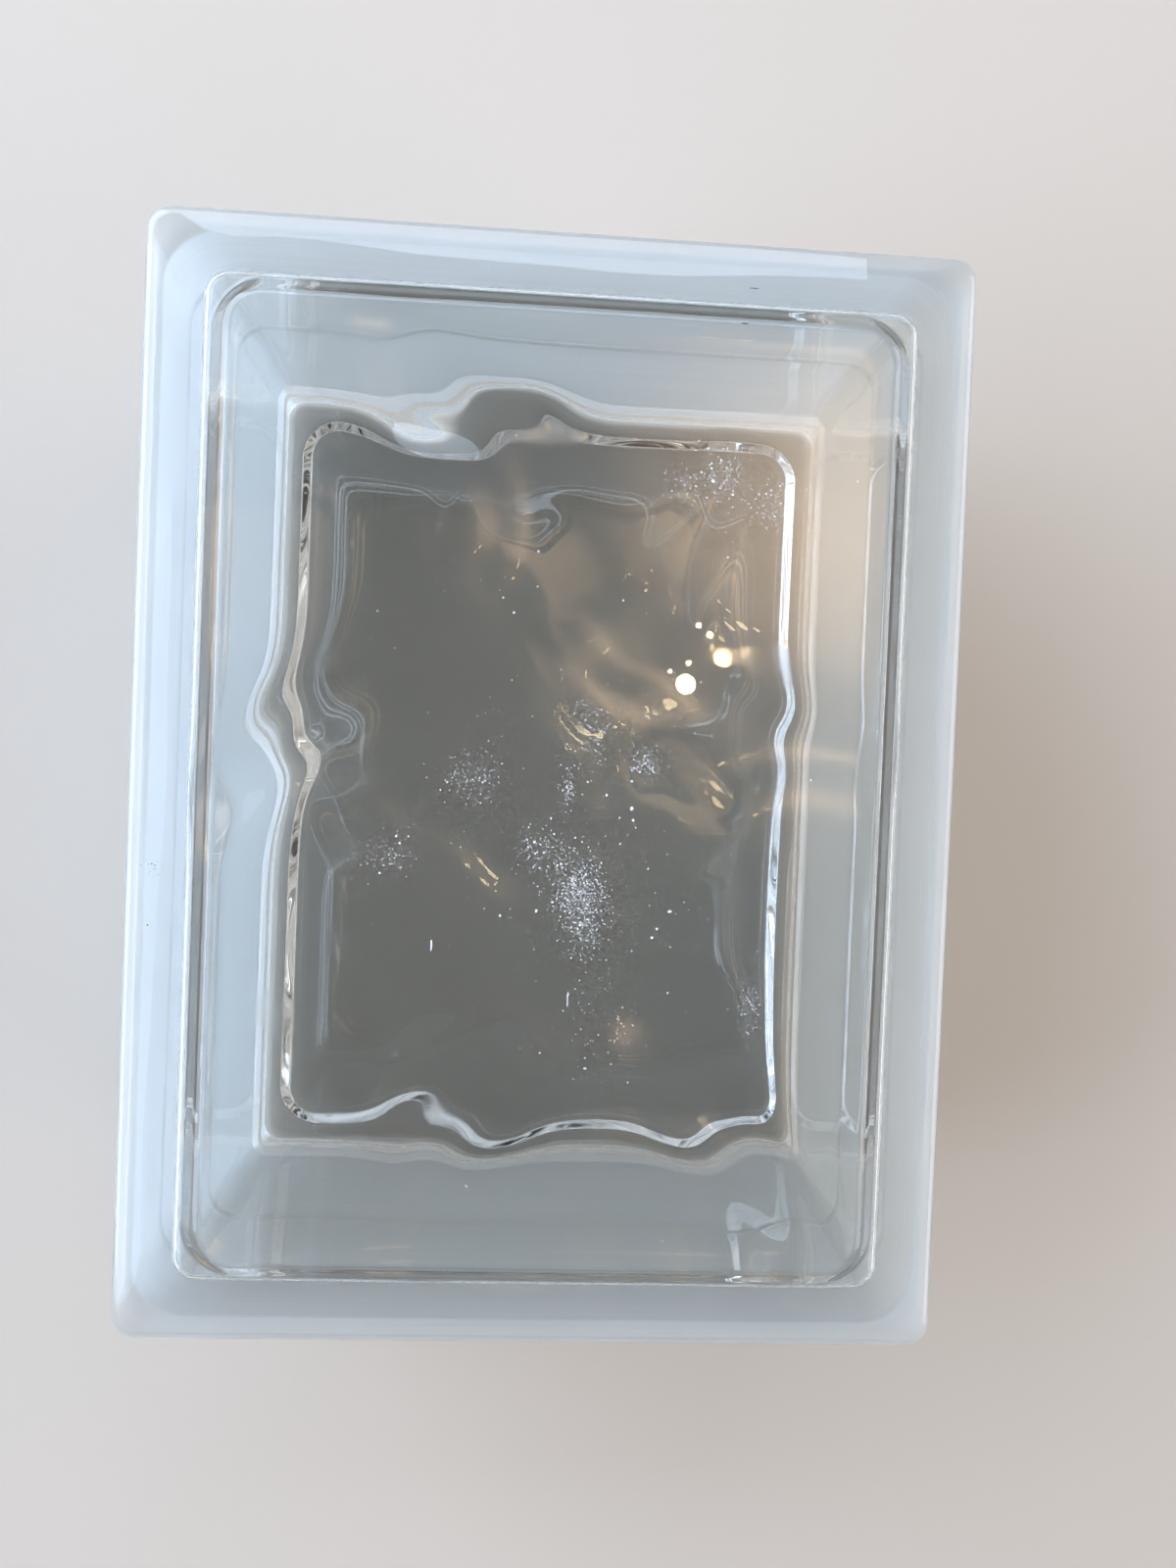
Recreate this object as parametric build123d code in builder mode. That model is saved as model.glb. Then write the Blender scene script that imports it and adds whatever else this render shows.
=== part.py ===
from build123d import *
import math
import os

# A hollow glass block for a wall or window. Two pressed glass halves are fused
# rim to rim, so the block is one piece of glass round a sealed space. It lies
# on its lower face: X is its width, Y its length, Z its thickness.

# Outside size, face to face and edge to edge
block_width = 146.05
block_length = 196.85
block_thickness = 98.4
lip_corner_radius = 4.0

# Face: a sloping flange runs round a raised panel with a rounded bead
flange_width = 12.2
flange_rise = 1.2
foot_radius = 9.4
foot_fillet = 1.2
step_height = 4.2
step_run = 2.8
bead_radius = 3.0

# Edge: lips stand out at both faces, with the mortar key between them
lip_height = 6.0
lip_rounding = 1.6
lip_under_rounding = 0.8
key_depth = 2.3
key_slope = 3.2
key_fillet = 1.5
key_corner_radius = 9.0

# Seam where the two halves were fused
seam_height = 0.8
seam_half_width = 1.8
seam_rounding = 1.0

# Glass thickness of the side walls and of the two panes
wall_at_seam = 4.7
wall_draft = 2.9
cavity_radius = 7.0
pane_thickness = 9.2
inner_rounding = 1.8

# Wave relief: rounded ridges on the inside of each pane, pressed by the mould.
# Each ridge runs straight from point to point across the pane.
ridge_height = 1.2
ridge_spread = 5.0
ridge_end_fade = 6.0
relief_base = 0.15
fork_upper = (-1.5, 37.5)
fork_right = (34.0, 12.0)
fork_lower = (7.5, -33.0)
ridges = [
    [(-29.0, 80.0), (-24.0, 68.0), (-7.0, 62.5), fork_upper],
    [fork_upper, (-23.0, 23.5), (-45.0, 9.5), (-60.0, -4.0)],
    [fork_upper, (14.0, 27.0), fork_right, (60.0, 9.0)],
    [fork_right, (22.5, 1.0), (14.5, -18.0), fork_lower],
    [fork_lower, (-9.0, -54.0), (-19.0, -62.0), (-20.0, -86.0)],
    [fork_lower, (25.0, -39.5), (29.0, -53.0), (44.0, -82.0)],
]
relief_grid_step = 5.0
relief_surface_tolerance = 0.05
relief_surface_degree = 6
relief_surface_smoothing = (1, 1, 1)

# Pale film painted on the mortar edges
film_thickness = 0.4
film_lip_gap = 0.8

# How far from a level an edge may lie and still count as on it
level_tolerance = 0.001

# Heights above and below the seam, and how far each level is drawn in
half_thickness = block_thickness / 2
foot_height = half_thickness - step_height
lip_top_height = foot_height - flange_rise
lip_bottom_height = lip_top_height - lip_height
key_height = lip_bottom_height - key_slope
seam_inset = key_depth - seam_height
cavity_inset_at_seam = key_depth + wall_at_seam
pane_inside_height = half_thickness - pane_thickness
hollow_height = pane_inside_height + relief_base
wall_taper = math.degrees(math.atan(wall_draft / hollow_height))
step_taper = math.degrees(math.atan(step_run / step_height))
fade_start = cavity_inset_at_seam + wall_draft + inner_rounding
film_end_inset = film_lip_gap + film_thickness
film_end_height = lip_bottom_height - key_slope * film_end_inset / key_depth
film_end_radius = lip_corner_radius + (key_corner_radius - lip_corner_radius) * film_end_inset / key_depth

seam_plane = Plane.XY.offset(half_thickness)
seam_plane_turned = Plane(seam_plane.origin, x_dir=(1, 0, 0), z_dir=(0, 0, -1))


def plan(inset, radius):
    """The block's plan, drawn in from its outer edge, with its corner radius."""
    return block_width - 2 * inset, block_length - 2 * inset, radius


def both_ways(rings):
    """Rings given from the seam to one face, with the seam and the other half's rings."""
    other_half = [(-height, inset, radius) for height, inset, radius in reversed(rings)]
    return other_half + [(0, seam_inset, key_corner_radius)] + rings


def edges_at(part, z):
    """The level edges of a part at one height over the floor."""
    return part.edges().filter_by_position(Axis.Z, z - level_tolerance, z + level_tolerance)


def loops(part, height):
    """The level edges of a part at one height above and below the seam."""
    return edges_at(part, half_thickness + height) + edges_at(part, half_thickness - height)


def distance_to_stretch(x, y, start, end):
    """Distance from a point of the pane to the nearest point of a ridge's stretch."""
    (x0, y0), (x1, y1) = start, end
    along_x, along_y = x1 - x0, y1 - y0
    share = ((x - x0) * along_x + (y - y0) * along_y) / (along_x**2 + along_y**2)
    share = min(1.0, max(0.0, share))
    return math.hypot(x - x0 - share * along_x, y - y0 - share * along_y)


def wall_fade(x, y):
    """Share of the relief: all of it on the open pane, none at the side walls."""
    margin = min(block_width / 2 - abs(x), block_length / 2 - abs(y)) - fade_start
    share = min(1.0, max(0.0, margin / ridge_end_fade))
    return share * share * (3 - 2 * share)


def relief(x, y):
    """How far the ridges stand in from the pane: bell curves, joined smoothly."""
    flat_share = 1.0
    for ridge in ridges:
        for start, end in zip(ridge, ridge[1:]):
            distance = distance_to_stretch(x, y, start, end)
            flat_share *= 1.0 - math.exp(-0.5 * (distance / ridge_spread) ** 2)
    return ridge_height * (1.0 - flat_share) * wall_fade(x, y)


def pane_inside():
    """The wavy inside of a pane, a smooth face a little larger than the block."""
    columns = math.ceil(block_width / relief_grid_step)
    rows = math.ceil(block_length / relief_grid_step)
    grid = []
    for row in range(rows + 1):
        y = block_length * (row / rows - 0.5)
        line = []
        for column in range(columns + 1):
            x = block_width * (column / columns - 0.5)
            line.append((x, y, pane_inside_height - relief(x, y)))
        grid.append(line)
    return Face.make_surface_from_array_of_points(
        grid,
        tol=relief_surface_tolerance,
        smoothing=relief_surface_smoothing,
        max_deg=relief_surface_degree,
    )


# The space inside one half: drafted walls, rounded in to the wavy pane
with BuildPart() as hollow:
    with BuildSketch():
        RectangleRounded(*plan(cavity_inset_at_seam, cavity_radius))
    extrude(amount=hollow_height, taper=wall_taper)
    fillet(hollow.faces().sort_by(Axis.Z)[-1].edges(), inner_rounding)
    split(bisect_by=pane_inside(), keep=Keep.TOP)

# Levels of the edge, from the seam out to the step's foot: height, inset, corner
seam_and_key = [
    (seam_half_width, key_depth, key_corner_radius),
    (key_height, key_depth, key_corner_radius),
]
lip_and_flange = [
    (lip_bottom_height, 0, lip_corner_radius),
    (lip_top_height, 0, lip_corner_radius),
    (foot_height, flange_width, foot_radius),
]

# The outside of the whole block, still solid: the edge, then a panel on each face
with BuildPart() as outside:
    for height, inset, radius in both_ways(seam_and_key + lip_and_flange):
        with BuildSketch(seam_plane.offset(height)):
            RectangleRounded(*plan(inset, radius))
    loft(ruled=True)
    with BuildSketch(seam_plane.offset(foot_height), seam_plane_turned.offset(foot_height)):
        RectangleRounded(*plan(flange_width, foot_radius))
    extrude(amount=step_height, taper=step_taper)
    fillet(loops(outside, half_thickness), bead_radius)
    fillet(loops(outside, foot_height), foot_fillet)
    fillet(loops(outside, lip_top_height), lip_rounding)
    fillet(loops(outside, lip_bottom_height), lip_under_rounding)
    fillet(loops(outside, key_height), key_fillet)
    fillet(loops(outside, 0), seam_rounding)

# The glass: both halves come from one mould, one turned over onto the other
with BuildPart() as glass_block:
    add(outside.part)
    with Locations(seam_plane, seam_plane_turned):
        add(hollow.part, mode=Mode.SUBTRACT)
glass_block.part.label = "glass_block"

# The film: a thin band all round the mortar key, with the glass cut out of it
film_levels = seam_and_key + [(film_end_height, film_end_inset, film_end_radius)]
with BuildPart() as edge_coating:
    for height, inset, radius in both_ways(film_levels):
        with BuildSketch(seam_plane.offset(height)):
            RectangleRounded(*plan(inset - film_thickness, radius + film_thickness))
    loft(ruled=True)
    fillet(loops(edge_coating, 0), seam_rounding)
    add(outside.part, mode=Mode.SUBTRACT)
edge_coating.part.label = "edge_coating"

os.makedirs("parts", exist_ok=True)
export_step(glass_block.part, "parts/glass_block.step")
export_step(edge_coating.part, "parts/edge_coating.step")
for piece in (glass_block.part, edge_coating.part):
    print(piece.label, "volume", round(piece.volume), "solids", len(piece.solids()))
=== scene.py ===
import bpy
import numpy as np
from mathutils import Matrix, Vector


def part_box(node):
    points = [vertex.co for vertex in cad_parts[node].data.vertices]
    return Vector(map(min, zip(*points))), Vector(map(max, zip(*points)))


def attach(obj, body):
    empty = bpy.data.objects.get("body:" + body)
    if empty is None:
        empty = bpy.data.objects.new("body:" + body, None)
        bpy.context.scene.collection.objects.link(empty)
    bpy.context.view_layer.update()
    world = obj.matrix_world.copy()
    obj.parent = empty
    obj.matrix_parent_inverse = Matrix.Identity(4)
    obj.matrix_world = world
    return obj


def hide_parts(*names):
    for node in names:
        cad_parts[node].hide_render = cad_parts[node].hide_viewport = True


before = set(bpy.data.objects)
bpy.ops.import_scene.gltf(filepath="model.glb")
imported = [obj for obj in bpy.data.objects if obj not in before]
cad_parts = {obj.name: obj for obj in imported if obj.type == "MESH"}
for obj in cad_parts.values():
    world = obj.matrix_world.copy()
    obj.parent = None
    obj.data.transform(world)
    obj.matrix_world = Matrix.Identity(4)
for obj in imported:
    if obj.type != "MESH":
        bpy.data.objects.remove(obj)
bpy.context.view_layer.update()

# The camera looks nearly straight down from a fifth of a metre above the upper face,
# a little left of the middle, and is turned so that the block leans to the right.
camera_place = Vector((-0.0062, 0.0062, 0.3004))
camera_forward = Vector((0.06243, -0.02107, -0.99783))
camera_right = Vector((0.99727, 0.04073, 0.06154))
camera_up = camera_right.cross(camera_forward)
camera_data = bpy.data.cameras.new("camera")
camera_data.sensor_fit = "HORIZONTAL"
camera_data.sensor_width = 36
camera_data.lens = 36
camera_data.clip_start = 0.01
camera = bpy.data.objects.new("camera", camera_data)
turn = Matrix((camera_right, camera_up, -camera_forward)).transposed()
camera.matrix_world = Matrix.Translation(camera_place) @ turn.to_4x4()
bpy.context.scene.collection.objects.link(camera)
bpy.context.scene.camera = camera

# The glass block: two pressed halves of clear soda-lime glass, fused rim to rim round a
# sealed space. The outside is fire polished, so its corners are soft and its faces
# slightly uneven. The mould presses wave ridges into the inside of both panes.
millimetre = 0.001
lowest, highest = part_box("glass_block")
block_width, block_length, block_thickness = (highest - lowest) / millimetre
half_thickness = block_thickness / 2
flange_width = 12.2
flange_rise = 1.2
step_height = 4.2
step_run = 2.8
lip_height = 6.0
key_depth = 2.3
key_slope = 3.2
seam_height = 0.8
seam_half_width = 1.8
seam_rounding = 0.8
key_rounding = 1.5
lip_under_rounding = 0.8
lip_rounding = 1.6
foot_rounding = 1.2
bead_radius = 3.0
lip_corner = 4.0
key_corner = 9.0
foot_corner = 9.4
face_allowance = 0.04
face_height = half_thickness - face_allowance
foot_height = half_thickness - step_height
lip_top_height = foot_height - flange_rise
lip_bottom_height = lip_top_height - lip_height
key_height = lip_bottom_height - key_slope
panel_margin = 6.0
corner_share = 0.9
deepest_dip = 0.1


def rounded_line(corners, radii, arc_steps=8, hold=0.25):
    """A section line: straight runs between its corners, with an arc at each corner.

    An arc of radius r in a corner of half angle h starts r / tan(h) away from the
    corner. Its points are blends of its two end spokes by sines, which keeps them at
    one distance from the centre. A point is held on each run close to the arc.
    """
    corners = np.array(corners, float)
    line = [corners[:1]]
    for before, corner, after, radius in zip(corners, corners[1:], corners[2:], radii):
        back = (before - corner) / np.linalg.norm(before - corner)
        on = (after - corner) / np.linalg.norm(after - corner)
        half_angle = np.arccos(back @ on) / 2
        reach = radius / np.tan(half_angle)
        middle = (back + on) / np.linalg.norm(back + on)
        centre = corner + middle * radius / np.sin(half_angle)
        first, last = corner + back * reach - centre, corner + on * reach - centre
        sweep = np.pi - 2 * half_angle
        share = np.linspace(0, 1, arc_steps + 1)[:, None]
        arc = centre + (np.sin((1 - share) * sweep) * first + np.sin(share * sweep) * last) / np.sin(sweep)
        line += [arc[:1] + back * hold, arc, arc[-1:] + on * hold]
    return np.concatenate(line + [corners[-1:]])


def both_halves(line):
    """A section line from the seam to a face, with the other half's line before it."""
    return np.concatenate([line[:0:-1] * (1, -1), line])


def plan(a, b, inset, corner):
    """Places in the block's plan for grid coordinates a and b from -1 to 1.

    The inner share of the grid spans the straight sides. The rest spans the corner's
    radius, and there the square is drawn in to a quarter circle by the larger of its
    two coordinates over the root of their squares' sum.
    """
    out_a = np.clip((np.abs(a) - corner_share) / (1 - corner_share), 0, 1)
    out_b = np.clip((np.abs(b) - corner_share) / (1 - corner_share), 0, 1)
    spoke = np.hypot(out_a, out_b)
    draw_in = np.where(spoke > 0, np.maximum(out_a, out_b) / np.maximum(spoke, 1e-9), 1)
    run_x = block_width / 2 - inset - corner
    run_y = block_length / 2 - inset - corner
    x = np.sign(a) * (np.minimum(np.abs(a) / corner_share, 1) * run_x + out_a * draw_in * corner)
    y = np.sign(b) * (np.minimum(np.abs(b) / corner_share, 1) * run_y + out_b * draw_in * corner)
    return x, y


def grid_lines(corner_steps, run_steps):
    """Grid coordinates across the block: close together at both corners."""
    corner_lines = np.linspace(corner_share, 1, corner_steps + 1)
    run_lines = np.linspace(-corner_share, corner_share, run_steps + 1)
    return np.concatenate([-corner_lines[:0:-1], run_lines, corner_lines[1:]])


def outline_indices(a_lines, b_lines):
    """The grid's outline, once round against the clock, as row and column numbers."""
    last_a, last_b = len(a_lines) - 1, len(b_lines) - 1
    up_a, up_b = np.arange(last_a), np.arange(last_b)
    rows = np.concatenate([up_a, np.full(last_b, last_a), last_a - up_a, np.zeros(last_b, int)])
    columns = np.concatenate([np.zeros(last_a, int), up_b, np.full(last_a, last_b), last_b - up_b])
    return rows, columns


def closed_shell(a_lines, b_lines, section, corners, uneven_height):
    """Points and quads of a closed shell round the block's middle, in millimetres.

    Each level of the section is one ring round the plan, and a grid closes the first
    and the last ring. The last argument turns each plain height into the uneven one.
    """
    rows, columns = outline_indices(a_lines, b_lines)
    x, y = plan(a_lines[rows], b_lines[columns], section[:, :1], corners[:, None])
    z = uneven_height(x, y, np.broadcast_to(section[:, 1:], x.shape))
    points = [np.stack([x, y, z], -1).reshape(-1, 3)]
    around = len(rows)
    ring = np.arange(around)
    level = np.arange(len(section) - 1)[:, None] * around
    here, there = level + ring, level + (ring + 1) % around
    quads = [np.stack([here, there, there + around, here + around], -1).reshape(-1, 4)]
    count = len(section) * around
    for end in (len(section) - 1, 0):
        numbers = np.empty((len(a_lines), len(b_lines)), int)
        inner = np.s_[1:-1, 1:-1]
        x, y = plan(a_lines[:, None], b_lines[None, :], section[end, 0], corners[end])
        x, y = x[inner].ravel(), y[inner].ravel()
        z = uneven_height(x, y, np.full_like(x, section[end, 1]))
        points.append(np.stack([x, y, z], -1))
        numbers[inner] = count + np.arange(x.size).reshape(len(a_lines) - 2, -1)
        numbers[rows, columns] = end * around + ring
        count += x.size
        corner_numbers = [numbers[:-1, :-1], numbers[1:, :-1], numbers[1:, 1:], numbers[:-1, 1:]]
        if end == 0:
            corner_numbers.reverse()
        quads.append(np.stack(corner_numbers, -1).reshape(-1, 4))
    return np.concatenate(points), np.concatenate(quads)


def smooth_mesh(name, points, faces):
    """A smooth shaded mesh object at the origin, from points in millimetres."""
    mesh = bpy.data.meshes.new(name)
    mesh.from_pydata((points * millimetre).tolist(), [], faces.tolist())
    mesh.polygons.foreach_set("use_smooth", np.ones(len(mesh.polygons), bool))
    mesh.update()
    piece = bpy.data.objects.new(name, mesh)
    bpy.context.scene.collection.objects.link(piece)
    return piece


def fire_polished(x, y, height):
    """Heights of the outside, drawn in a little by three waves that cross.

    Each wave is a sine times a cosine of the place in millimetres. The share is none
    of the dip at the lip and all of it from the step's foot up.
    """
    slow = np.sin(x / 17 + 1.3) * np.cos(y / 23 - 0.4)
    cross = np.sin((x + y) / 11 + 0.7) * np.cos((x - y) / 15)
    quick = np.sin(x / 6.5 + 2 * np.sin(y / 19)) * np.cos(y / 8.5)
    dip = deepest_dip / 2 * (1 + 0.6 * slow + 0.3 * cross + 0.1 * quick)
    share = np.clip((np.abs(height) - lip_top_height) / flange_rise, 0, 1)
    return height - np.sign(height) * dip * share


def outside_corner(inset, height):
    """Corner radius at each level: large on the key, small on the lip.

    It grows again over the flange, and from there inwards it runs concentric.
    """
    on_flange = np.interp(inset, [0, flange_width], [lip_corner, foot_corner])
    on_panel = foot_corner - (inset - flange_width)
    corner = np.where(inset < flange_width, on_flange, on_panel)
    on_key = np.interp(np.abs(height), [key_height, lip_bottom_height], [key_corner, lip_corner])
    return np.where(np.abs(height) < lip_bottom_height, on_key, corner)


outside_line = rounded_line(
    [
        (key_depth - seam_height, 0),
        (key_depth, seam_half_width),
        (key_depth, key_height),
        (0, lip_bottom_height),
        (0, lip_top_height),
        (flange_width, foot_height),
        (flange_width + step_run, face_height),
        (flange_width + step_run + panel_margin, face_height),
    ],
    [seam_rounding, key_rounding, lip_under_rounding, lip_rounding, foot_rounding, bead_radius],
)
outside_section = both_halves(outside_line)
outside_corners = outside_corner(outside_section[:, 0], outside_section[:, 1])
outside_a = grid_lines(10, 32)
outside_b = grid_lines(10, 44)
outside_points, outside_quads = closed_shell(
    outside_a,
    outside_b,
    outside_section,
    outside_corners,
    fire_polished,
)

# The sealed space inside, with drafted walls rounded into the two wavy panes
wall_at_seam = 4.7
wall_draft = 2.9
wall_steps = 11
space_corner = 7.0
least_space_corner = 0.5
pane_thickness = 9.2
inner_rounding = 1.8
ridge_height = 1.2
ridge_spread = 5.0
fork_upper = (-1.5, 37.5)
fork_right = (34.0, 12.0)
fork_lower = (7.5, -33.0)
ridges = [
    [(-29.0, 80.0), (-24.0, 68.0), (-7.0, 62.5), fork_upper],
    [fork_upper, (-23.0, 23.5), (-45.0, 9.5), (-60.0, -4.0)],
    [fork_upper, (14.0, 27.0), fork_right, (60.0, 9.0)],
    [fork_right, (22.5, 1.0), (14.5, -18.0), fork_lower],
    [fork_lower, (-9.0, -54.0), (-19.0, -62.0), (-20.0, -86.0)],
    [fork_lower, (25.0, -39.5), (29.0, -53.0), (44.0, -82.0)],
]
pane_inside_height = half_thickness - pane_thickness
space_inset = key_depth + wall_at_seam
pane_inset = space_inset + wall_draft + inner_rounding
pane_margin = 1.0


def relief(x, y):
    """How far the ridges stand in from a pane, in millimetres.

    Each stretch of a ridge is a bell curve of the distance to it. The shares that stay
    flat are multiplied, which joins the ridges smoothly.
    """
    flat_share = np.ones_like(x)
    for ridge in ridges:
        for (x0, y0), (x1, y1) in zip(ridge, ridge[1:]):
            along = ((x - x0) * (x1 - x0) + (y - y0) * (y1 - y0)) / ((x1 - x0) ** 2 + (y1 - y0) ** 2)
            along = np.clip(along, 0, 1)
            distance = np.hypot(x - x0 - along * (x1 - x0), y - y0 - along * (y1 - y0))
            flat_share *= 1 - np.exp(-0.5 * (distance / ridge_spread) ** 2)
    return ridge_height * (1 - flat_share)


def wavy(x, y, height):
    """Heights of the inside, with the ridges. They run out down the rounded edge."""
    share = np.clip((np.abs(height) - pane_inside_height + inner_rounding) / inner_rounding, 0, 1)
    return height - np.sign(height) * share * share * relief(x, y * np.sign(height))


space_line = rounded_line(
    [
        (space_inset, 0),
        (space_inset + wall_draft, pane_inside_height),
        (pane_inset + pane_margin, pane_inside_height),
    ],
    [inner_rounding],
    arc_steps=12,
)
wall_levels = np.linspace(0, 1, wall_steps + 1)[1:-1, None]
wall_points = space_line[0] + wall_levels * (space_line[1] - space_line[0])
space_section = both_halves(np.concatenate([space_line[:1], wall_points, space_line[1:]]))
space_corners = space_corner - (space_section[:, 0] - space_inset)
space_points, space_quads = closed_shell(
    grid_lines(6, 96),
    grid_lines(6, 136),
    space_section,
    np.maximum(space_corners, least_space_corner),
    wavy,
)
glass_points = np.concatenate([outside_points, space_points]) + (0, 0, half_thickness)
glass_quads = np.concatenate([outside_quads, space_quads[:, ::-1] + len(outside_points)])
glass = smooth_mesh("glass", glass_points, glass_quads)


class Value:
    """A node socket that takes plus and times, each as a Math node."""

    def __init__(self, tree, socket):
        self.tree = tree
        self.socket = socket

    def node(self, kind, settings=None, output=0, **inputs):
        """A node of one kind: its settings first, then its sockets, by name or number."""
        made = self.tree.nodes.new(kind)
        for name, setting in (settings or {}).items():
            setattr(made, name, setting)
        for name, given in inputs.items():
            key = int(name[1:]) if name[:1] == "_" else name.replace("_", " ")
            target = made.inputs[key]
            if isinstance(given, Value):
                self.tree.links.new(given.socket, target)
            else:
                target.default_value = given
        return Value(self.tree, made.outputs[output])

    def maths(self, operation, first, second):
        return self.node("ShaderNodeMath", {"operation": operation}, _0=first, _1=second)

    def __add__(self, other):
        return self.maths("ADD", self, other)

    def __radd__(self, other):
        return self.maths("ADD", other, self)

    def __mul__(self, other):
        return self.maths("MULTIPLY", self, other)

    def __rmul__(self, other):
        return self.maths("MULTIPLY", other, self)

    def between(self, low, high):
        """The value stretched so that low gives 0 and high gives 1, clamped, smooth."""
        return self.node(
            "ShaderNodeMapRange",
            {"interpolation_type": "SMOOTHSTEP", "clamp": True},
            Value=self,
            From_Min=low,
            From_Max=high,
        )


def new_material(name):
    """An empty material, its output node, and its Object coordinates as a Value."""
    material = bpy.data.materials.new(name)
    material.use_nodes = True
    tree = material.node_tree
    tree.nodes.clear()
    output = tree.nodes.new("ShaderNodeOutputMaterial")
    coordinates = tree.nodes.new("ShaderNodeTexCoord")
    return material, output, Value(tree, coordinates.outputs["Object"])


def noise(place, scale, detail=2.0, roughness=0.5):
    """Smooth noise of a place, with so many spots to the metre."""
    return place.node(
        "ShaderNodeTexNoise",
        Vector=place,
        Scale=scale,
        Detail=detail,
        Roughness=roughness,
    )


def clear_glass():
    """Clear glass that absorbs a little red, with faint smears where it was handled."""
    material, output, place = new_material("clear_glass")
    smears_to_metre = 60
    smear_roughness = 0.12
    smear = noise(place, smears_to_metre, 0.0).between(0.6, 0.8)
    shader = place.node(
        "ShaderNodeBsdfPrincipled",
        Base_Color=(0.965, 0.987, 0.98, 1),
        Roughness=smear_roughness * smear,
        IOR=1.52,
        Transmission_Weight=1.0,
    )
    place.tree.links.new(shader.socket, output.inputs["Surface"])
    return material


def edge_film(name, let_through, thin_colour, thick_colour):
    """Matt whitish film, streaky from the brush, which lets a share of the light through.

    Its tone is six parts of brush strokes, drawn out round the block, to four of blotches.
    """
    material, output, place = new_material(name)
    streaks = place.node("ShaderNodeMapping", Vector=place, Scale=(9.0, 9.0, 260.0))
    stroke = noise(streaks, 2.0, 2.0, 0.6)
    blotch = noise(place, 38, 1.0)
    tone = (0.6 * stroke + 0.4 * blotch).between(0.3, 0.7)
    colour = place.node(
        "ShaderNodeMix",
        {"data_type": "RGBA"},
        2,
        _0=tone,
        _6=thin_colour,
        _7=thick_colour,
    )
    bump = place.node("ShaderNodeBump", Strength=0.5, Distance=0.0002, Height=stroke)
    coat = place.node("ShaderNodeBsdfPrincipled", Base_Color=colour, Roughness=0.7, Normal=bump)
    through = place.node("ShaderNodeBsdfTranslucent", Color=(0.95, 0.97, 0.98, 1), Normal=bump)
    mixed = place.node("ShaderNodeMixShader", _0=let_through, _1=coat, _2=through)
    place.tree.links.new(mixed.socket, output.inputs["Surface"])
    return material


# On the mortar edges the glass's own faces take the finish of the film that lies on
# them, as it shows through the glass, and a thin overspray of it runs up the lips' sides
overspray_gap = 1.2
overspray_end_height = lip_top_height - overspray_gap
inner_film = edge_film(
    "film_against_glass",
    let_through=0.5,
    thin_colour=(0.88, 0.91, 0.91, 1),
    thick_colour=(0.96, 0.97, 0.97, 1),
)
glass.data.materials.append(clear_glass())
glass.data.materials.append(inner_film)
edge_quads = (len(outside_section) - 1) * len(outline_indices(outside_a, outside_b)[0])
quad_heights = outside_points[outside_quads[:edge_quads], 2].mean(1)
filmed = np.zeros(len(glass_quads), np.int32)
filmed[:edge_quads] = np.abs(quad_heights) < overspray_end_height
glass.data.polygons.foreach_set("material_index", filmed)
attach(glass, "root")
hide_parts("glass_block")

# The film: a thin whitish coat brushed on the mortar edges between the two lips, so
# that mortar bonds to the glass. It shows milky through the glass from inside.
film_thickness = 0.4
film_lip_gap = 0.8
film_clearance = 0.03
film_end_height = lip_bottom_height - key_slope * (film_lip_gap + film_thickness) / key_depth


def film_band():
    """Points and quads of the film: its section, a closed loop, carried round the plan.

    The outer side lies the film's thickness out from the glass, and the inner side a
    clearance out from it, so that no two faces share a place.
    """
    levels = np.array(
        [
            (film_lip_gap, -film_end_height),
            (key_depth - film_thickness, -key_height),
            (key_depth - film_thickness, -seam_half_width),
            (key_depth - seam_height - film_thickness, 0),
            (key_depth - film_thickness, seam_half_width),
            (key_depth - film_thickness, key_height),
            (film_lip_gap, film_end_height),
        ]
    )
    radii = [key_rounding, seam_rounding, seam_rounding, seam_rounding, key_rounding]
    outer = rounded_line(levels, radii, arc_steps=5)
    inner = outer[::-1] + (film_thickness - film_clearance, 0)
    section = np.concatenate([outer, inner])
    corners = outside_corner(section[:, 0], section[:, 1])
    corners[: len(outer)] += film_thickness
    rows, columns = outline_indices(outside_a, outside_b)
    a, b = outside_a[rows], outside_b[columns]
    x, y = plan(a, b, section[:, :1], corners[:, None])
    z = np.broadcast_to(section[:, 1:], x.shape) + half_thickness
    points = np.stack([x, y, z], -1).reshape(-1, 3)
    around = len(rows)
    level, ring = np.meshgrid(np.arange(len(section)), np.arange(around), indexing="ij")
    next_level, next_ring = (level + 1) % len(section), (ring + 1) % around
    numbers = [level * around + ring, level * around + next_ring]
    numbers += [next_level * around + next_ring, next_level * around + ring]
    return points, np.stack(numbers, -1).reshape(-1, 4)


film = smooth_mesh("film", *film_band())
outer_film = edge_film(
    "edge_film",
    let_through=0.8,
    thin_colour=(0.66, 0.69, 0.69, 1),
    thick_colour=(0.93, 0.94, 0.94, 1),
)
film.data.materials.append(outer_film)
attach(film, "root")
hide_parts("edge_coating")

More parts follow.
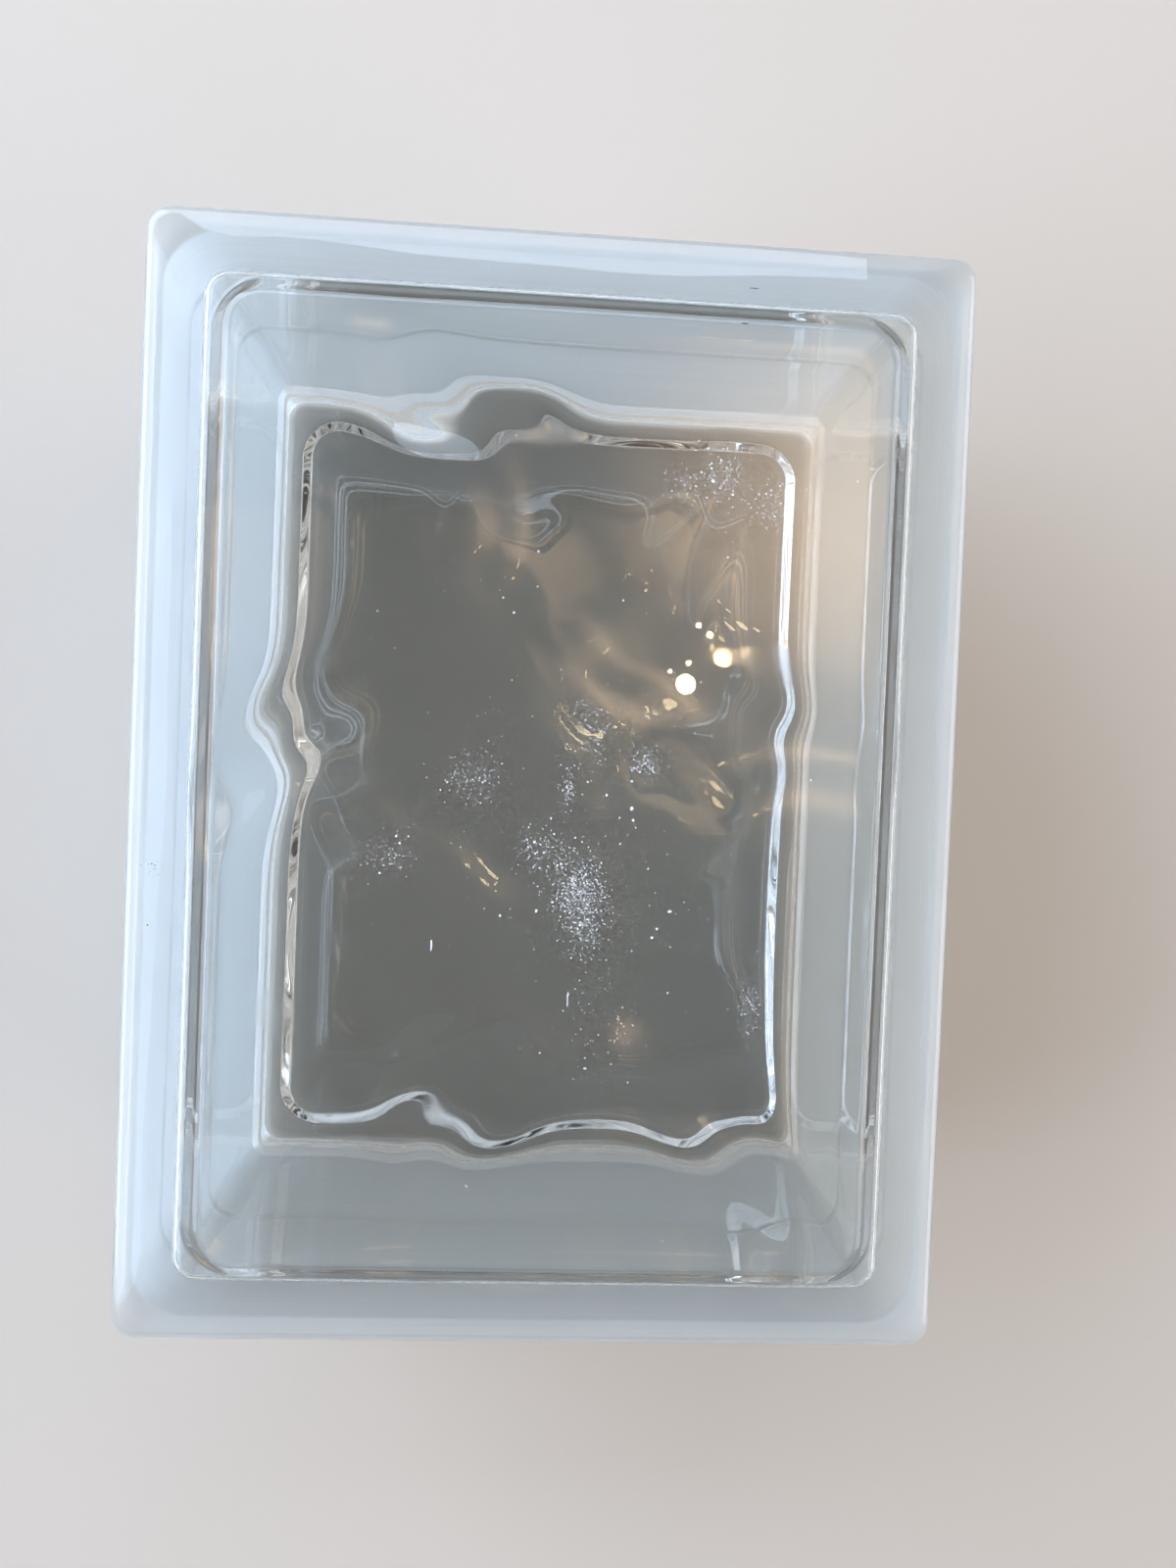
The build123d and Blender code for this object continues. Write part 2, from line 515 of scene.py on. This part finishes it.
# Dust: fine pale grit that lies on the upper face in loose patches, with single larger
# grains and two short streaks, and a little dark grit on the flanges and the panel's rim.
# It only rests there.
grain_clearance = 0.01
grain_corners = 5
common_grain = 0.085
largest_grain = 0.3
grain_margin = 3.0
grain_size_spread = 0.45
grain_turn_spread = 0.4
least_corner_share = 0.6
read_below_lip = 0.4
grit_random = np.random.default_rng(11)
pale_patches = [
    ((5.5, -16.5), (2.4, 3.2), 900),
    ((7.0, -23.5), (1.8, 3.0), 300),
    ((6.0, 11.0), (2.0, 3.5), 260),
    ((16.5, 6.0), (1.6, 1.6), 160),
    ((3.1, 0.5), (0.6, 1.8), 120),
    ((-13.4, 2.5), (3.0, 2.6), 260),
    ((-0.7, -9.8), (2.6, 2.2), 260),
    ((-27.9, -11.5), (2.4, 2.4), 160),
    ((36.3, -36.2), (1.0, 2.6), 120),
    ((27.4, 55.5), (1.9, 2.2), 300),
    ((21.2, 53.6), (1.8, 1.6), 140),
    ((36.5, 51.5), (2.4, 2.4), 260),
    ((9.0, -41.0), (4.0, 4.0), 120),
    ((8.0, 0.0), (20.0, 32.0), 650),
]
pale_grains = [
    ((14.0, 2.7), (0.3, 0.3)),
    ((14.2, -2.0), (0.5, 0.45)),
    ((14.5, -4.0), (0.3, 0.35)),
    ((21.5, -19.6), (0.45, 0.35)),
    ((19.4, -22.7), (0.3, 0.3)),
    ((18.6, -24.3), (0.35, 0.3)),
    ((-1.6, -20.3), (0.35, 0.4)),
    ((7.9, -47.3), (0.5, 0.25)),
    ((-19.3, -26.8), (0.22, 1.7)),
    ((4.4, -35.4), (0.14, 1.9)),
]
dark_patches = [((-68.0, -15.3), (1.2, 0.9), 16)]
dark_grains = [
    ((-68.5, -25.5), (0.22, 0.22)),
    ((32.5, 90.1), (1.0, 0.16)),
    ((30.3, 82.2), (0.9, 0.14)),
]


def inset_from_edge(x, y):
    """How far a place of the plan lies in from the block's nearest edge."""
    return np.minimum(block_width / 2 - np.abs(x), block_length / 2 - np.abs(y))


def upper_side(x, y):
    """Height of the glass's upper side, from the outside's section at the place's inset."""
    over_lip = outside_line[outside_line[:, 1] >= lip_top_height - read_below_lip]
    height = np.interp(inset_from_edge(x, y), over_lip[:, 0], over_lip[:, 1])
    return half_thickness + fire_polished(x, y, height)


def scattered(patches):
    """Places and half sizes of the grains of some patches, each a bell-shaped scatter.

    The sizes are a common one times e to the power of a normal random number. What
    would lie off the block or near its edge is left out.
    """
    places = [grit_random.normal(middle, spread, (count, 2)) for middle, spread, count in patches]
    places = np.concatenate(places)
    places = places[inset_from_edge(places[:, 0], places[:, 1]) > grain_margin]
    sizes = common_grain * np.exp(grain_size_spread * grit_random.normal(size=len(places)))
    return places, np.minimum(sizes, largest_grain)[:, None] * (1, 1)


def grit(name, patches, single_grains):
    """A mesh of flat grains: corners go round each place at uneven shares of its size."""
    places, sizes = scattered(patches)
    places = np.concatenate([places, [place for place, size in single_grains]])
    sizes = np.concatenate([sizes, [size for place, size in single_grains]])
    turn = np.linspace(0, 2 * np.pi, grain_corners, endpoint=False)
    turn = turn + grit_random.uniform(-grain_turn_spread, grain_turn_spread, (len(places), grain_corners))
    share = grit_random.uniform(least_corner_share, 1, turn.shape)
    x = places[:, :1] + sizes[:, :1] * share * np.cos(turn)
    y = places[:, 1:] + sizes[:, 1:] * share * np.sin(turn)
    points = np.stack([x, y, upper_side(x, y) + grain_clearance], -1).reshape(-1, 3)
    return smooth_mesh(name, points, np.arange(len(points)).reshape(-1, grain_corners))


def grit_finish(name, one_colour, other_colour):
    """Matt grit whose colour changes from grain to grain."""
    material, output, place = new_material(name)
    colour = place.node(
        "ShaderNodeMix",
        {"data_type": "RGBA"},
        2,
        _0=noise(place, 900).between(0.35, 0.65),
        _6=one_colour,
        _7=other_colour,
    )
    shader = place.node("ShaderNodeBsdfPrincipled", Base_Color=colour, Roughness=1.0)
    place.tree.links.new(shader.socket, output.inputs["Surface"])
    return material


pale_finish = grit_finish(
    "pale_dust",
    one_colour=(0.62, 0.64, 0.7, 1),
    other_colour=(0.9, 0.91, 0.95, 1),
)
pale_dust = grit("pale_dust", pale_patches, pale_grains)
pale_dust.data.materials.append(pale_finish)
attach(pale_dust, "root")
dark_finish = grit_finish(
    "dark_dust",
    one_colour=(0.03, 0.028, 0.025, 1),
    other_colour=(0.09, 0.08, 0.07, 1),
)
dark_dust = grit("dark_dust", dark_patches, dark_grains)
dark_dust.data.materials.append(dark_finish)
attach(dark_dust, "root")

# The floor: plain, pale and level, where the lower face rests.
floor_half = 1.5
floor_colour = (0.49, 0.445, 0.395, 1)
floor_mesh = bpy.data.meshes.new("floor")
floor_corners = [(-1, -1), (1, -1), (1, 1), (-1, 1)]
floor_mesh.from_pydata([(x * floor_half, y * floor_half, 0) for x, y in floor_corners], [], [(0, 1, 2, 3)])
floor = bpy.data.objects.new("floor", floor_mesh)
bpy.context.scene.collection.objects.link(floor)


def pale_floor():
    """A plain pale, matt surface."""
    material, output, place = new_material("pale_floor")
    shader = place.node("ShaderNodeBsdfPrincipled", Base_Color=floor_colour, Roughness=0.9)
    place.tree.links.new(shader.socket, output.inputs["Surface"])
    return material


floor_mesh.materials.append(pale_floor())

# The light: a plain pale world with a warm glow overhead, cool soft boxes to the left of
# the block and beyond it, a warmer one to its right, and small warm bulbs overhead.
sky_light = (0.3, 0.295, 0.29)
glow_light = (3.8, 2.6, 1.6)
glow_toward = (0.26, 0.2, 0.95)
glow_narrowness = 90.0
backdrop_colour = (0.68, 0.67, 0.66, 1)
world = bpy.data.worlds.new("world")
world.use_nodes = True
world_tree = world.node_tree
sky = Value(world_tree, world_tree.nodes.new("ShaderNodeTexCoord").outputs["Generated"])


def glow(colour, toward, narrowness):
    """Light from one direction: a colour times a power of the cosine of the angle to it."""
    aim = Vector(toward).normalized()
    cosine = sky.node("ShaderNodeVectorMath", {"operation": "DOT_PRODUCT"}, 1, _0=sky, _1=aim)
    share = cosine.maths("POWER", cosine.maths("MAXIMUM", cosine, 0.0), narrowness)
    return share.node("ShaderNodeVectorMath", {"operation": "SCALE"}, _0=colour, Scale=share)


warm_glow = glow(glow_light, glow_toward, glow_narrowness)
light = sky.node("ShaderNodeVectorMath", {"operation": "ADD"}, _0=warm_glow, _1=sky_light)
seen_directly = Value(world_tree, world_tree.nodes.new("ShaderNodeLightPath").outputs["Is Camera Ray"])
backdrop = sky.node(
    "ShaderNodeMix",
    {"data_type": "RGBA"},
    2,
    _0=seen_directly,
    _6=light,
    _7=backdrop_colour,
)
world_tree.links.new(backdrop.socket, world_tree.nodes["Background"].inputs["Color"])
bpy.context.scene.world = world


def soft_box(name, centre, size, toward, radiance):
    """A flat rectangular lamp. Its power is its radiance times pi times its area."""
    data = bpy.data.lights.new(name, "AREA")
    data.shape = "RECTANGLE"
    data.size, data.size_y = size
    data.energy = max(radiance) * np.pi * size[0] * size[1]
    data.color = [part / max(radiance) for part in radiance]
    lamp = bpy.data.objects.new(name, data)
    lamp.location = centre
    lamp.rotation_euler = Vector(toward).to_track_quat("-Z", "Y").to_euler()
    lamp.visible_camera = False
    bpy.context.scene.collection.objects.link(lamp)


soft_box("box_left", (-1.07, 0.025, 1.2), (0.87, 1.65), (0, 0, -1), (1.1, 1.35, 1.75))
soft_box("box_beyond", (-0.2, 1.185, 1.2), (1.2, 0.73), (0, 0, -1), (3.1, 3.7, 4.6))
soft_box("box_low", (-1.6, 0.45, 0.95), (3.0, 1.4), (1, -0.3, -0.4), (4.2, 5.0, 6.2))
soft_box("box_right", (1.6, 0.1, 0.95), (2.4, 1.2), (-1, 0, -0.4), (3.0, 2.75, 2.6))

# Small round warm lamps that glint on the panel: place in the plan, and radius. Their
# watts go with the radius squared, which makes them equally bright.
bulbs = [
    ((0.287, 0.163), 0.013),
    ((0.267, 0.197), 0.005),
    ((0.25, 0.209), 0.004),
    ((0.322, 0.173), 0.006),
    ((0.232, 0.12), 0.015),
    ((0.235, 0.152), 0.004),
    ((0.208, 0.138), 0.0035),
]
bulb_height = 1.6
watts_by_radius_squared = 2500
bulb_colour = (1.0, 0.72, 0.42)

for number, ((x, y), radius) in enumerate(bulbs):
    data = bpy.data.lights.new(f"bulb_{number}", "POINT")
    data.shadow_soft_size = radius
    data.energy = watts_by_radius_squared * radius**2
    data.color = bulb_colour
    lamp = bpy.data.objects.new(f"bulb_{number}", data)
    lamp.location = (x, y, bulb_height)
    bpy.context.scene.collection.objects.link(lamp)

# Light meets the glass and the film many times on its way, so its paths are long. The
# lamps are few, so they are sampled evenly.
bpy.context.scene.cycles.use_light_tree = False
bpy.context.scene.cycles.max_bounces = 12
bpy.context.scene.cycles.diffuse_bounces = 2
bpy.context.scene.cycles.glossy_bounces = 8
bpy.context.scene.cycles.transmission_bounces = 9
bpy.context.scene.view_settings.view_transform = "Standard"
